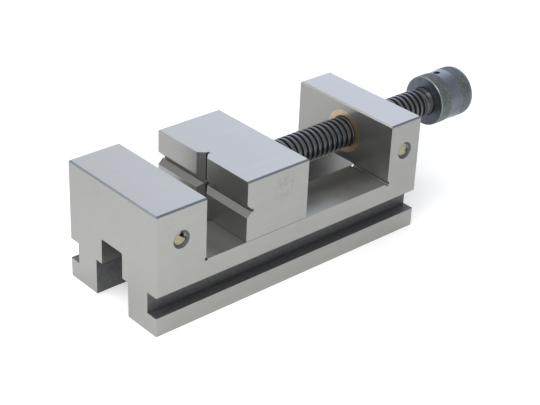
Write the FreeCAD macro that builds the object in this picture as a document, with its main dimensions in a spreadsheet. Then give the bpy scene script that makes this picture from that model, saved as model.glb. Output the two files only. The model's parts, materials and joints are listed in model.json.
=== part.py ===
import FreeCAD, Part
import Sketcher

import os
import re
from math import cos, pi, sin

# Precision grinding vise: a one-piece steel body with a bed, a fixed jaw and a rear block,
# a moving jaw that slides on the bed, and a lead screw that turns in a bronze nut.
# Millimetres. +X runs from the fixed jaw to the knob, +Y across the jaws, +Z up.
# The origin lies on the base, halfway along the whole vise and halfway across the jaws.

# Driving sizes: name, value in millimetres, and what it measures
SIZES = (
    ("jaw_width", 100.0, "width of both jaws and of the body"),
    ("body_length", 248.0, "body, end face to end face"),
    ("body_height", 93.5, "base to the top of the jaws"),
    ("bed_height", 46.0, "base to the bed that the moving jaw slides on"),
    ("fixed_jaw", 42.3, "fixed jaw, along the vise"),
    ("rear_block", 31.0, "rear block that carries the nut, along the vise"),
    ("edge_chamfer", 1.2, "ground chamfer along the top faces, except at the gripping faces"),
    ("corner_break", 0.6, "ground chamfer on the upright end corners and on hidden edges"),
    ("front_relief", 1.45, "radius of the relief in the corner below the fixed jaw"),
    ("rear_relief", 1.8, "radius of the relief in the corner below the rear block"),
    ("side_groove_low", 14.7, "base to the lower wall of a side clamping groove"),
    ("side_groove_height", 16.3, "side clamping groove, between its walls"),
    ("side_groove_depth", 9.8, "side clamping groove, from the side face"),
    ("slot_width", 23.8, "slot in the bed that guides the tongue"),
    ("slot_rise", 2.0, "bed to the roof of the slot under the jaws"),
    ("slot_corner", 1.5, "radius in the roof corners of the slot"),
    ("ledge_height", 28.0, "base to the underside of the two ledges"),
    ("guide_width", 37.0, "slot below the ledges, across"),
    ("stop_hole_radius", 5.1, "wall of the tapped work stop holes"),
    ("stop_hole_mouth", 6.9, "outer radius of their countersink"),
    ("stop_hole_depth", 16.0, "depth of their full-width part"),
    ("stop_hole_drop", 0.8, "axis of the lead screw down to their axis"),
    ("screw_drop", 0.45, "middle of the steel above the slot down to the axis of the lead screw"),
    ("screw_radius", 12.0, "lead screw over its thread"),
    ("shank_radius", 11.3, "plain lead screw behind its thread"),
    ("plain_shank", 5.0, "end of the thread to the knob"),
    ("knob_reach", 171.5, "back of the moving jaw to the knob"),
    ("screw_passage", 13.0, "radius of the hole behind the nut"),
    ("nut_radius", 17.0, "bronze nut, outside"),
    ("nut_length", 27.0, "bronze nut, along the screw"),
    ("bore_break", 0.6, "small chamfer at the mouth of a bore"),
    ("lock_radius", 3.0, "grub screw that locks the nut"),
    ("lock_bite", 2.0, "depth of its seat in the nut"),
    ("lock_recess", 0.5, "roof of the slot to the end of the grub screw"),
    ("lock_socket", 3.0, "its hexagon socket, across flats"),
    ("opening", 35.7, "fixed jaw to moving jaw at rest"),
    ("moving_jaw", 56.7, "moving jaw, along the vise"),
    ("slide_clearance", 0.05, "running clearance of the moving jaw on each guide face"),
    ("running_clearance", 0.05, "radial clearance of the screw in its bores"),
    ("snug", 0.02, "radial clearance of pins and pressed or threaded pieces"),
    ("tongue_inset", 1.0, "jaw face to the end of the tongue"),
    ("level_vee", 10.2, "mouth of the level vee in the moving jaw"),
    ("level_vee_depth", 5.8, "jaw face to the bottom of its relief"),
    ("upright_vee", 11.7, "mouth of the upright vee"),
    ("upright_vee_depth", 6.8, "jaw face to the bottom of its relief"),
    ("vee_relief", 2.3, "width of the relief cut at the bottom of a vee"),
    ("nose_radius", 7.0, "screw nose that turns in the moving jaw"),
    ("nose_length", 20.0, "back of the moving jaw to the tip of the nose"),
    ("nose_neck", 4.5, "radius of the groove in the nose, where the forked plate holds it"),
    ("nose_groove", 5.2, "width of that groove"),
    ("nose_groove_setback", 10.0, "back of the moving jaw to the middle of the groove"),
    ("fork_thickness", 5.0, "forked plate, along the vise"),
    ("fork_width", 19.0, "forked plate, across the vise"),
    ("fork_rise", 8.0, "axis of the lead screw up to the tips of the forked plate"),
    ("shoulder_gap", 0.5, "back of the moving jaw to the shoulder of the screw"),
    ("pad_thickness", 4.0, "hardened thrust pad in front of the nose"),
    ("plate_thickness", 12.0, "guide plate below the ledges"),
    ("plate_side_gap", 0.3, "guide plate to the wall of the slot"),
    ("plate_inset", 3.0, "jaw face to the end of the guide plate"),
    ("plate_screw_radius", 3.0, "cap screws that hold the guide plate"),
    ("plate_screw_first", 12.0, "front of the moving jaw to the first cap screw"),
    ("plate_screw_pitch", 22.0, "first cap screw to the second"),
    ("plate_screw_bite", 12.0, "length of a cap screw in the tongue"),
    ("plate_screw_spare", 2.0, "tip of a cap screw to the bottom of its hole"),
    ("screw_head_radius", 5.0, "cap screw head"),
    ("screw_head_height", 6.0, "cap screw head"),
    ("screw_socket", 5.0, "hexagon socket of a cap screw, across flats"),
    ("screw_socket_depth", 3.0, "depth of that socket"),
    ("head_clearance", 0.4, "cap screw head to its counterbore"),
    ("counterbore_depth", 6.8, "counterbores in the guide plate"),
    ("knob_length", 37.8, "knob, end to end"),
    ("knob_band_radius", 20.1, "gripping bands of the knob"),
    ("knob_neck_radius", 19.6, "smooth neck behind the front band, from where it widens to the rear band"),
    ("knob_front_band", 11.5, "front face of the knob to the neck"),
    ("knob_neck_length", 12.0, "neck between the bands"),
    ("knob_round", 4.0, "radius of the edge at the end of the knob"),
    ("knob_seat", 11.8, "length of the screw inside the knob"),
    ("centre_mark", 1.6, "radius and depth of the turning centre in the end of the knob"),
    ("tommy_radius", 2.8, "cross hole for a tommy bar"),
    ("tommy_place", 15.6, "front face of the knob to the cross hole"),
    ("tommy_lean", 9.0, "degrees that the cross hole leans from upright at rest"),
    ("countersink_angle", 90.0, "degrees, mouth of a work stop hole"),
    ("drill_angle", 118.0, "degrees, point of the drill at its bottom"),
    ("knob_pin_radius", 2.0, "pin that locks the knob to the screw"),
    ("knob_pin_place", 6.0, "front face of the knob to the pin"),
    ("knob_pin_bite", 3.3, "depth of the pin in the screw"),
    ("knob_pin_recess", 0.4, "surface of the knob to the end of the pin"),
)
VALUE = {name: value for name, value, meaning in SIZES}

# Places along the vise, from the end face of the fixed jaw
JAW_FRONT = "(fixed_jaw + opening)"
JAW_BACK = "(fixed_jaw + opening + moving_jaw)"
REAR_FACE = "(body_length - rear_block)"
REAR_MIDDLE = "(body_length - rear_block / 2)"
MIDDLE = "((fixed_jaw + opening + moving_jaw + knob_reach + knob_length) / 2)"

# Heights above the base
SLOT_TOP = "(bed_height + slot_rise)"
SCREW_HEIGHT = f"(({SLOT_TOP} + body_height) / 2 - screw_drop)"
JAW_UNDERSIDE = "(bed_height + slide_clearance)"
TONGUE_BOTTOM = "(ledge_height - slide_clearance)"

# Place along the lead screw, from the back of the moving jaw
THREAD_END = "(knob_reach - plain_shank)"

# Straight steps that the rounded end of the knob is turned in
ROUND_STEPS = 3

document = FreeCAD.newDocument("grinding_vise")


def make_sheet():
    """Spreadsheet that holds every driving size under its own name."""
    sheet = document.addObject("Spreadsheet::Sheet", "Sizes")
    for row, (name, value, meaning) in enumerate(SIZES, start=1):
        sheet.set(f"A{row}", meaning)
        sheet.set(f"B{row}", str(value))
        sheet.setAlias(f"B{row}", name)
    document.recompute()
    return sheet


def sized(text):
    """Expression on the sheet: each plain word becomes a reference to its cell."""
    return re.sub(r"\b[a-z]\w+\b(?!\()", r"Sizes.\g<0>", str(text))


def new_body(name, x="0", height="0", turned=False):
    """Body placed along the vise from the fixed jaw's end face, and at a height."""
    body = document.addObject("PartDesign::Body", name)
    body.Label = name
    if turned:
        lean = FreeCAD.Rotation(FreeCAD.Vector(1, 0, 0), -VALUE["tommy_lean"])
        body.Placement = FreeCAD.Placement(FreeCAD.Vector(), lean)
    body.setExpression("Placement.Base.x", sized(f"{x} - {MIDDLE}"))
    body.setExpression("Placement.Base.z", sized(height))
    return body


def new_sketch(body, name, plane, offset="0"):
    """Sketch on one of the body's own origin planes, moved along that plane's normal."""
    sketch = body.newObject("Sketcher::SketchObject", name)
    support = [item for item in body.Origin.OriginFeatures if item.Role == plane][0]
    sketch.AttachmentSupport = [(support, "")]
    sketch.MapMode = "FlatFace"
    sketch.setExpression("AttachmentOffset.Base.z", sized(offset))
    return sketch


def hold_point(sketch, curve, place, point):
    """Bind one point of a curve to a pair of expressions, measured from the origin."""
    for kind, length in zip(("DistanceX", "DistanceY"), point):
        bond = sketch.addConstraint(Sketcher.Constraint(kind, -1, 1, curve, place, 1.0))
        sketch.setExpression(f"Constraints[{bond}]", sized(length))


def add_outline(sketch, corners):
    """Closed outline of straight lines through corners given as expressions."""
    count = len(corners)
    start = [FreeCAD.Vector(cos(2 * pi * i / count), sin(2 * pi * i / count), 0) for i in range(count)]
    lines = [sketch.addGeometry(Part.LineSegment(start[i], start[(i + 1) % count]), False)
             for i in range(count)]
    for i, line in enumerate(lines):
        following = lines[(i + 1) % count]
        sketch.addConstraint(Sketcher.Constraint("Coincident", line, 2, following, 1))
        hold_point(sketch, line, 1, corners[i])


def add_circle(sketch, centre, radius):
    """Circle with its centre and radius bound to expressions."""
    circle = sketch.addGeometry(Part.Circle(FreeCAD.Vector(), FreeCAD.Vector(0, 0, 1), 1.0), False)
    hold_point(sketch, circle, 3, centre)
    bond = sketch.addConstraint(Sketcher.Constraint("Radius", circle, 1.0))
    sketch.setExpression(f"Constraints[{bond}]", sized(radius))


def add_hexagon(sketch, across_flats):
    """Regular hexagon about the origin, for a wrench socket."""
    corner = [f"{across_flats} / sqrt(3) * cos({60 * i} * 1deg)" for i in range(6)]
    level = [f"{across_flats} / sqrt(3) * sin({60 * i} * 1deg)" for i in range(6)]
    add_outline(sketch, list(zip(corner, level)))


def volume_of(body):
    """Volume of the body as it stands."""
    document.recompute()
    return body.Shape.Volume


def pad(body, sketch, name, length, symmetric=False):
    """Pad along the sketch's normal, or half to each side."""
    feature = body.newObject("PartDesign::Pad", name)
    feature.Profile = sketch
    feature.setExpression("Length", sized(length))
    feature.SideType = "Symmetric" if symmetric else "One side"
    document.recompute()
    return feature


def pocket(body, sketch, name, length=None, forward=False):
    """Pocket against the sketch's normal, along it when forward, or both ways right through."""
    before = volume_of(body)
    feature = body.newObject("PartDesign::Pocket", name)
    feature.Profile = sketch
    if length is None:
        feature.Type = "ThroughAll"
        feature.SideType = "Symmetric"
    else:
        feature.setExpression("Length", sized(length))
        feature.Reversed = forward
    if volume_of(body) >= before:
        raise RuntimeError(f"{name} removes nothing from {body.Label}")
    return feature


def revolve(body, sketch, name, axis):
    """Solid of revolution about the sketch's level or upright axis."""
    feature = body.newObject("PartDesign::Revolution", name)
    feature.Profile = sketch
    feature.ReferenceAxis = (sketch, [axis])
    feature.Angle = 360
    document.recompute()
    return feature


def dress(body, kind, name, size, wanted):
    """Chamfer or fillet on the edges that the given test picks."""
    base = body.Tip
    edges = [f"Edge{i}" for i, edge in enumerate(base.Shape.Edges, start=1) if wanted(edge)]
    feature = body.newObject(f"PartDesign::{kind}", name)
    feature.Base = (base, edges)
    feature.setExpression("Radius" if kind == "Fillet" else "Size", sized(size))
    document.recompute()
    return feature


def near(value, target):
    """Equal to a hundredth of a millimetre."""
    return abs(value - target) < 0.01


def top_edge(height, gripping_face):
    """Test for the edges of the top faces, except the one across the vise at a gripping face."""
    def test(edge):
        box = edge.BoundBox
        sharp = near(box.XLength, 0) and near(box.XMin, gripping_face)
        return near(box.ZLength, 0) and near(box.ZMin, height) and not sharp
    return test


def upright_corner(*places):
    """Test for the upright edges at the given places along the vise."""
    def test(edge):
        box = edge.BoundBox
        upright = near(box.XLength, 0) and near(box.YLength, 0)
        return upright and any(near(box.XMin, place) for place in places)
    return test


def ring_edge(x, radius):
    """Test for a round edge of a given radius that faces along the vise."""
    def test(edge):
        box = edge.BoundBox
        return near(box.XLength, 0) and near(box.XMin, x) and near(box.YLength, 2 * radius)
    return test


def make_body():
    """Bed, fixed jaw and rear block, ground from one block of hardened steel."""
    body = new_body("vise_body")
    profile = new_sketch(body, "side_profile", "XZ_Plane")
    add_outline(profile, (
        ("0", "0"), ("body_length", "0"), ("body_length", "body_height"),
        (REAR_FACE, "body_height"), (REAR_FACE, "bed_height"),
        ("fixed_jaw", "bed_height"), ("fixed_jaw", "body_height"), ("0", "body_height"),
    ))
    pad(body, profile, "block", "jaw_width", symmetric=True)
    dress(body, "Chamfer", "top_edges", "edge_chamfer", top_edge(VALUE["body_height"], VALUE["fixed_jaw"]))
    dress(body, "Chamfer", "end_corners", "corner_break", upright_corner(0, VALUE["body_length"]))
    cut_corner_reliefs(body)
    cut_guide_slot(body)
    cut_side_grooves(body)
    cut_nut_seat(body)
    cut_stop_holes(body)
    return body


def cut_corner_reliefs(body):
    """Round undercuts where the bed meets the fixed jaw and the rear block."""
    sketch = new_sketch(body, "relief_circles", "XZ_Plane")
    add_circle(sketch, ("fixed_jaw", "bed_height"), "front_relief")
    add_circle(sketch, (REAR_FACE, "bed_height"), "rear_relief")
    pocket(body, sketch, "corner_reliefs")


def cut_guide_slot(body):
    """Inverted T slot through the whole length, open in the bed and roofed under the jaws."""
    sketch = new_sketch(body, "slot_section", "YZ_Plane")
    add_outline(sketch, (
        ("-guide_width / 2", "0"), ("guide_width / 2", "0"),
        ("guide_width / 2", "ledge_height"), ("slot_width / 2", "ledge_height"),
        ("slot_width / 2", SLOT_TOP), ("-slot_width / 2", SLOT_TOP),
        ("-slot_width / 2", "ledge_height"), ("-guide_width / 2", "ledge_height"),
    ))
    pocket(body, sketch, "guide_slot")

    roof = VALUE["bed_height"] + VALUE["slot_rise"]

    def roof_corner(edge):
        box = edge.BoundBox
        along = near(box.YLength, 0) and near(box.ZLength, 0)
        return along and near(abs(box.YMin), VALUE["slot_width"] / 2) and near(box.ZMin, roof)

    dress(body, "Fillet", "slot_corners", "slot_corner", roof_corner)


def cut_side_grooves(body):
    """Clamping groove along each side face."""
    sketch = new_sketch(body, "side_groove_sections", "YZ_Plane")
    for side in ("-1", "1"):
        wall = f"{side} * jaw_width / 2"
        floor = f"{side} * (jaw_width / 2 - side_groove_depth)"
        top = "side_groove_low + side_groove_height"
        add_outline(sketch, ((wall, "side_groove_low"), (floor, "side_groove_low"), (floor, top), (wall, top)))
    pocket(body, sketch, "side_grooves")


def cut_nut_seat(body):
    """Bore for the nut, the smaller passage behind it and the hole of its lock screw."""
    passage = new_sketch(body, "passage_circle", "YZ_Plane", "body_length")
    add_circle(passage, ("0", SCREW_HEIGHT), "screw_passage")
    pocket(body, passage, "screw_passage", "rear_block")
    mouth = ring_edge(VALUE["body_length"], VALUE["screw_passage"])
    dress(body, "Chamfer", "passage_mouth", "corner_break", mouth)
    seat = new_sketch(body, "nut_circle", "YZ_Plane", REAR_FACE)
    add_circle(seat, ("0", SCREW_HEIGHT), "nut_radius")
    pocket(body, seat, "nut_seat", "nut_length", forward=True)
    lock = new_sketch(body, "lock_circle", "XY_Plane", SLOT_TOP)
    add_circle(lock, (REAR_MIDDLE, "0"), "lock_radius")
    pocket(body, lock, "lock_hole", f"{SCREW_HEIGHT} - nut_radius - {SLOT_TOP} + lock_bite", forward=True)


def cut_stop_holes(body):
    """Countersunk blind tapped holes for a work stop, in both jaws and on both sides."""
    sketch = new_sketch(body, "stop_hole_circles", "XZ_Plane", "jaw_width / 2")
    for place in ("fixed_jaw / 2", REAR_MIDDLE):
        add_circle(sketch, (place, f"{SCREW_HEIGHT} - stop_hole_drop"), "stop_hole_radius")
    before = volume_of(body)
    holes = body.newObject("PartDesign::Hole", "stop_holes")
    holes.Profile = sketch
    document.recompute()
    holes.DepthType = "Dimension"
    holes.setExpression("Depth", sized("stop_hole_depth"))
    holes.setExpression("Diameter", sized("2 * stop_hole_radius"))
    holes.HoleCutType = "Countersink"
    holes.setExpression("HoleCutDiameter", sized("2 * stop_hole_mouth"))
    holes.setExpression("HoleCutCountersinkAngle", sized("countersink_angle"))
    holes.DrillPoint = "Angled"
    holes.setExpression("DrillPointAngle", sized("drill_angle"))
    one_side = volume_of(body)
    across = body.newObject("PartDesign::Mirrored", "far_side_holes")
    across.Originals = [holes]
    across.MirrorPlane = ([item for item in body.Origin.OriginFeatures if item.Role == "XZ_Plane"][0], [""])
    body.Tip = across
    if not before > one_side > volume_of(body):
        raise RuntimeError("stop holes are missing on one side")


def vee_outline(middle, mouth, depth):
    """Ninety degree vee in a face, with a narrow relief cut at its bottom."""
    flank = f"({mouth} - vee_relief) / 2"
    return (
        ("0", f"{middle} - {mouth} / 2"), (flank, f"{middle} - vee_relief / 2"),
        (depth, f"{middle} - vee_relief / 2"), (depth, f"{middle} + vee_relief / 2"),
        (flank, f"{middle} + vee_relief / 2"), ("0", f"{middle} + {mouth} / 2"),
    )


def make_moving_jaw():
    """Sliding jaw with its tongue, the two vees in its face and the socket of the screw."""
    body = new_body("moving_jaw", JAW_FRONT, JAW_UNDERSIDE)
    block = new_sketch(body, "jaw_side", "XZ_Plane")
    top = f"(body_height - {JAW_UNDERSIDE})"
    add_outline(block, (("0", "0"), ("moving_jaw", "0"), ("moving_jaw", top), ("0", top)))
    pad(body, block, "jaw_block", "jaw_width", symmetric=True)
    height = VALUE["body_height"] - VALUE["bed_height"] - VALUE["slide_clearance"]
    dress(body, "Chamfer", "top_edges_of_jaw", "edge_chamfer", top_edge(height, 0))
    dress(body, "Chamfer", "back_corners", "corner_break", upright_corner(VALUE["moving_jaw"]))
    tongue = new_sketch(body, "tongue_section", "YZ_Plane", "tongue_inset")
    half = "(slot_width / 2 - slide_clearance)"
    low = f"{TONGUE_BOTTOM} - {JAW_UNDERSIDE}"
    add_outline(tongue, ((f"-{half}", low), (half, low), (half, "0"), (f"-{half}", "0")))
    pad(body, tongue, "tongue", "moving_jaw - 2 * tongue_inset")
    level = new_sketch(body, "level_vee_section", "XZ_Plane")
    middle = f"({SCREW_HEIGHT} - {JAW_UNDERSIDE})"
    add_outline(level, vee_outline(middle, "level_vee", "level_vee_depth"))
    pocket(body, level, "level_vee")
    upright = new_sketch(body, "upright_vee_section", "XY_Plane")
    add_outline(upright, vee_outline("0", "upright_vee", "upright_vee_depth"))
    pocket(body, upright, "upright_vee")
    cut_screw_socket(body)
    cut_tongue_holes(body)
    return body


def cut_screw_socket(body):
    """Bore in the back of the jaw for the thrust pad and the screw nose."""
    axis = ("0", f"{SCREW_HEIGHT} - {JAW_UNDERSIDE}")
    socket = new_sketch(body, "socket_circle", "YZ_Plane", "moving_jaw")
    add_circle(socket, axis, "nose_radius + running_clearance")
    pocket(body, socket, "screw_socket", "nose_length + pad_thickness")
    mouth = ring_edge(VALUE["moving_jaw"], VALUE["nose_radius"] + VALUE["running_clearance"])
    dress(body, "Chamfer", "socket_mouth", "bore_break", mouth)


def plate_screw_places():
    """The two cap screws on the middle line, as distances from the jaw's face and from that line."""
    return [("plate_screw_first", "0"), ("(plate_screw_first + plate_screw_pitch)", "0")]


def cut_tongue_holes(body):
    """Slot for the forked plate and holes for the guide plate's screws, up from the tongue's underside."""
    low = f"{TONGUE_BOTTOM} - {JAW_UNDERSIDE}"
    side = "(fork_width / 2 + snug)"
    front = "(moving_jaw - nose_groove_setback - fork_thickness / 2 - snug)"
    back = "(moving_jaw - nose_groove_setback + fork_thickness / 2 + snug)"
    slot = new_sketch(body, "fork_slot_outline", "XY_Plane", low)
    add_outline(slot, ((front, f"-{side}"), (back, f"-{side}"), (back, side), (front, side)))
    pocket(body, slot, "fork_slot", f"{SCREW_HEIGHT} + fork_rise + snug - {TONGUE_BOTTOM}", forward=True)
    screws = new_sketch(body, "plate_screw_circles", "XY_Plane", low)
    for place in plate_screw_places():
        add_circle(screws, place, "plate_screw_radius + snug")
    pocket(body, screws, "plate_screw_holes", "plate_screw_bite + plate_screw_spare", forward=True)


def make_nose_fork():
    """Forked plate that straddles the groove of the screw nose, so that the screw also pulls the jaw."""
    place = f"{JAW_FRONT} + moving_jaw - nose_groove_setback - fork_thickness / 2"
    fork = new_body("nose_fork", place, TONGUE_BOTTOM)
    side = "fork_width / 2"
    notch = "(nose_neck + running_clearance)"
    tip = f"({SCREW_HEIGHT} + fork_rise - {TONGUE_BOTTOM})"
    throat = f"({SCREW_HEIGHT} - {notch} - {TONGUE_BOTTOM})"
    outline = new_sketch(fork, "fork_outline", "YZ_Plane")
    add_outline(outline, (
        (f"-{side}", "0"), (side, "0"), (side, tip), (notch, tip),
        (notch, throat), (f"-{notch}", throat), (f"-{notch}", tip), (f"-{side}", tip),
    ))
    pad(fork, outline, "fork", "fork_thickness")
    return fork


def make_guide_plate():
    """Plate below the ledges that holds the moving jaw down on the bed."""
    plate = new_body("guide_plate", JAW_FRONT, TONGUE_BOTTOM)
    side = "(guide_width / 2 - plate_side_gap)"
    outline = new_sketch(plate, "plate_outline", "XY_Plane", "-plate_thickness")
    back = "(moving_jaw - plate_inset)"
    add_outline(outline, (
        ("plate_inset", f"-{side}"), (back, f"-{side}"), (back, side), ("plate_inset", side),
    ))
    pad(plate, outline, "plate", "plate_thickness")
    dress(plate, "Chamfer", "plate_edges", "corner_break", lambda edge: True)
    through = new_sketch(plate, "screw_holes", "XY_Plane")
    wide = new_sketch(plate, "counterbore_circles", "XY_Plane", "-plate_thickness")
    for place in plate_screw_places():
        add_circle(through, place, "plate_screw_radius + snug")
        add_circle(wide, place, "screw_head_radius + head_clearance")
    pocket(plate, through, "clearance_holes", "plate_thickness")
    pocket(plate, wide, "counterbores", "counterbore_depth", forward=True)
    return plate


def make_plate_screws():
    """Socket head cap screws of the guide plate, heads down in its counterbores."""
    screws = []
    seat = f"({TONGUE_BOTTOM} - plate_thickness + counterbore_depth)"
    tip = "plate_thickness - counterbore_depth + plate_screw_bite"
    for number, (x, _) in enumerate(plate_screw_places(), start=1):
        screw = new_body(f"plate_screw_{number}", f"{JAW_FRONT} + {x}", seat)
        profile = new_sketch(screw, f"screw_profile_{number}", "XZ_Plane")
        add_outline(profile, (
            ("0", "-screw_head_height"), ("screw_head_radius", "-screw_head_height"),
            ("screw_head_radius", "0"), ("plate_screw_radius", "0"),
            ("plate_screw_radius", tip), ("0", tip),
        ))
        revolve(screw, profile, f"turned_screw_{number}", "V_Axis")
        socket = new_sketch(screw, f"socket_hexagon_{number}", "XY_Plane", "-screw_head_height")
        add_hexagon(socket, "screw_socket")
        pocket(screw, socket, f"wrench_socket_{number}", "screw_socket_depth", forward=True)
        screws.append(screw)
    return screws


def make_thrust_pad():
    """Hardened disc at the bottom of the socket, which the screw nose pushes on."""
    place = f"{JAW_BACK} - nose_length - pad_thickness"
    disc = new_body("thrust_pad", place, SCREW_HEIGHT)
    section = new_sketch(disc, "pad_circle", "YZ_Plane")
    add_circle(section, ("0", "0"), "nose_radius + running_clearance - snug")
    pad(disc, section, "disc", "pad_thickness - running_clearance")
    return disc


def make_lead_screw():
    """Screw with its grooved nose, its thread at full width and its plain shank."""
    screw = new_body("lead_screw", JAW_BACK, SCREW_HEIGHT, turned=True)
    groove_front = "-(nose_groove_setback + nose_groove / 2)"
    groove_back = "-(nose_groove_setback - nose_groove / 2)"
    profile = new_sketch(screw, "screw_profile", "XZ_Plane")
    add_outline(profile, (
        ("-nose_length", "0"), ("-nose_length", "nose_radius - 2 * bore_break"),
        ("2 * bore_break - nose_length", "nose_radius"), (groove_front, "nose_radius"),
        (groove_front, "nose_neck"), (groove_back, "nose_neck"), (groove_back, "nose_radius"),
        ("shoulder_gap", "nose_radius"), ("shoulder_gap", "screw_radius - 2 * bore_break"),
        ("shoulder_gap + 2 * bore_break", "screw_radius"), (f"{THREAD_END} - bore_break", "screw_radius"),
        (THREAD_END, "shank_radius"), ("knob_reach + knob_seat - bore_break", "shank_radius"),
        ("knob_reach + knob_seat", "shank_radius - bore_break"), ("knob_reach + knob_seat", "0"),
    ))
    revolve(screw, profile, "turned_screw", "H_Axis")
    drill = new_sketch(screw, "pin_circle", "XY_Plane", "knob_pin_bite - shank_radius")
    add_circle(drill, ("knob_reach + knob_pin_place", "0"), "knob_pin_radius + snug")
    pocket(screw, drill, "pin_hole", "knob_pin_bite + snug")
    return screw


def make_knob():
    """Turned knob with two gripping bands, a smooth tapered neck and a cross hole."""
    knob = new_body("screw_knob", f"{JAW_BACK} + knob_reach", SCREW_HEIGHT, turned=True)
    bore = "(shank_radius + snug)"
    rear_band = "(knob_front_band + knob_neck_length)"
    angles = [f"({90 * step / ROUND_STEPS} * 1deg)" for step in range(ROUND_STEPS + 1)]
    rounded_end = [(f"knob_length - knob_round * (1 - cos{angle})",
                    f"knob_band_radius - knob_round * (1 - sin{angle})") for angle in angles]
    profile = new_sketch(knob, "knob_profile", "XZ_Plane")
    add_outline(profile, (
        ("0", f"{bore} + bore_break"), ("bore_break", bore), ("knob_seat", bore), ("knob_seat", "0"),
        ("knob_length - centre_mark", "0"), ("knob_length", "centre_mark"),
        *rounded_end, (rear_band, "knob_band_radius"),
        ("knob_front_band", "knob_neck_radius"), ("knob_front_band", "knob_band_radius"),
        ("bore_break", "knob_band_radius"),
        ("0", "knob_band_radius - bore_break"),
    ))
    revolve(knob, profile, "turned_knob", "H_Axis")
    tommy = new_sketch(knob, "tommy_circle", "XY_Plane")
    add_circle(tommy, ("tommy_place", "0"), "tommy_radius")
    pocket(knob, tommy, "tommy_hole")
    drill = new_sketch(knob, "knob_pin_circle", "XY_Plane")
    add_circle(drill, ("knob_pin_place", "0"), "knob_pin_radius + snug")
    pocket(knob, drill, "knob_pin_hole", "knob_band_radius")
    return knob


def make_knob_pin():
    """Pin through the front band of the knob into the screw."""
    pin = new_body("knob_pin", f"{JAW_BACK} + knob_reach + knob_pin_place", SCREW_HEIGHT, turned=True)
    section = new_sketch(pin, "knob_pin_section", "XY_Plane", "knob_pin_bite - shank_radius")
    add_circle(section, ("0", "0"), "knob_pin_radius")
    length = "knob_band_radius - knob_pin_recess - shank_radius + knob_pin_bite"
    feature = pad(pin, section, "knob_pin_body", length)
    feature.Reversed = True
    document.recompute()
    return pin


def make_nut():
    """Bronze nut pressed into the rear block, flush with the block's inner face."""
    nut = new_body("screw_nut", REAR_FACE, SCREW_HEIGHT)
    outer = "(nut_radius - snug)"
    bore = "(screw_radius + running_clearance)"
    profile = new_sketch(nut, "nut_profile", "XZ_Plane")
    add_outline(profile, (
        ("0", f"{bore} + bore_break"), ("bore_break", bore), ("nut_length", bore),
        ("nut_length", outer), ("0", outer),
    ))
    revolve(nut, profile, "turned_nut", "H_Axis")
    seat = new_sketch(nut, "lock_seat_circle", "XY_Plane", "-nut_radius")
    add_circle(seat, ("rear_block / 2", "0"), "lock_radius")
    pocket(nut, seat, "lock_seat", "lock_bite", forward=True)
    return nut


def make_nut_lock():
    """Grub screw in the roof of the slot, which keeps the nut from turning."""
    lock = new_body("nut_lock_screw", REAR_MIDDLE, f"{SLOT_TOP} + lock_recess")
    section = new_sketch(lock, "grub_circle", "XY_Plane")
    add_circle(section, ("0", "0"), "lock_radius - snug")
    bottom = f"({SLOT_TOP} + lock_recess)"
    pad(lock, section, "grub_screw", f"{SCREW_HEIGHT} - nut_radius + lock_bite - snug - {bottom}")
    socket = new_sketch(lock, "grub_socket", "XY_Plane")
    add_hexagon(socket, "lock_socket")
    pocket(lock, socket, "grub_wrench_socket", "lock_socket", forward=True)
    return lock


def check_document(pieces):
    """Stop before writing if any feature failed or any piece is not a sound solid."""
    document.recompute()
    for item in document.Objects:
        if "Invalid" in item.State or "Error" in item.State:
            raise RuntimeError(f"{item.Label} failed: {item.State}")
    for piece in pieces:
        if piece.Shape.isNull() or not piece.Shape.isValid() or len(piece.Shape.Solids) != 1:
            raise RuntimeError(f"{piece.Label} is not one sound solid")


def main():
    """Build every piece, check it and write one file for each."""
    make_sheet()
    pieces = [make_body(), make_nut(), make_nut_lock()]
    pieces += [make_moving_jaw(), make_guide_plate(), make_thrust_pad()]
    pieces += [make_nose_fork()] + make_plate_screws()
    pieces += [make_lead_screw(), make_knob(), make_knob_pin()]
    check_document(pieces)
    os.makedirs("parts", exist_ok=True)
    for piece in pieces:
        piece.Shape.exportStep(f"parts/{piece.Label}.step")


main()
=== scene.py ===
import json
from math import atan2, cos, pi, radians, sin, tau

import bmesh
import bpy
from mathutils import Matrix, Vector


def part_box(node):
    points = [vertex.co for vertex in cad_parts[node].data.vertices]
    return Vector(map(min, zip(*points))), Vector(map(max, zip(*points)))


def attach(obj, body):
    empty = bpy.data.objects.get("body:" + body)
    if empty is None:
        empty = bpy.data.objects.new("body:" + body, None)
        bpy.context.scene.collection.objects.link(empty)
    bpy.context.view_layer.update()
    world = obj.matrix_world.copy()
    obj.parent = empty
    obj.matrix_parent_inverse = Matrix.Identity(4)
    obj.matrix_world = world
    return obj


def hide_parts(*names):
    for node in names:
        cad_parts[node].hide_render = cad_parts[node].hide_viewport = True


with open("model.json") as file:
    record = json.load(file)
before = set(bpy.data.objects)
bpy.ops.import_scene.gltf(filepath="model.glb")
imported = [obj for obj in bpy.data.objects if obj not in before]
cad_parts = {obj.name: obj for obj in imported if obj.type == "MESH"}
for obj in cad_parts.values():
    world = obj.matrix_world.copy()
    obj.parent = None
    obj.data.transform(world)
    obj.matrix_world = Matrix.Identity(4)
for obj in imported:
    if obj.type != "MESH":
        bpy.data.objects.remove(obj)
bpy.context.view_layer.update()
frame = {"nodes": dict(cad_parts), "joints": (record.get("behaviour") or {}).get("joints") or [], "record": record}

bl_info = {
    "name": "Precision Grinding Vise",
    "version": (1, 0, 0),
    "blender": (4, 5, 0),
    "location": "View3D > Sidebar > Vise",
    "description": "Threads, knurls and real finishes for the solid model of a ground steel vise",
    "category": "Object",
}

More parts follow.
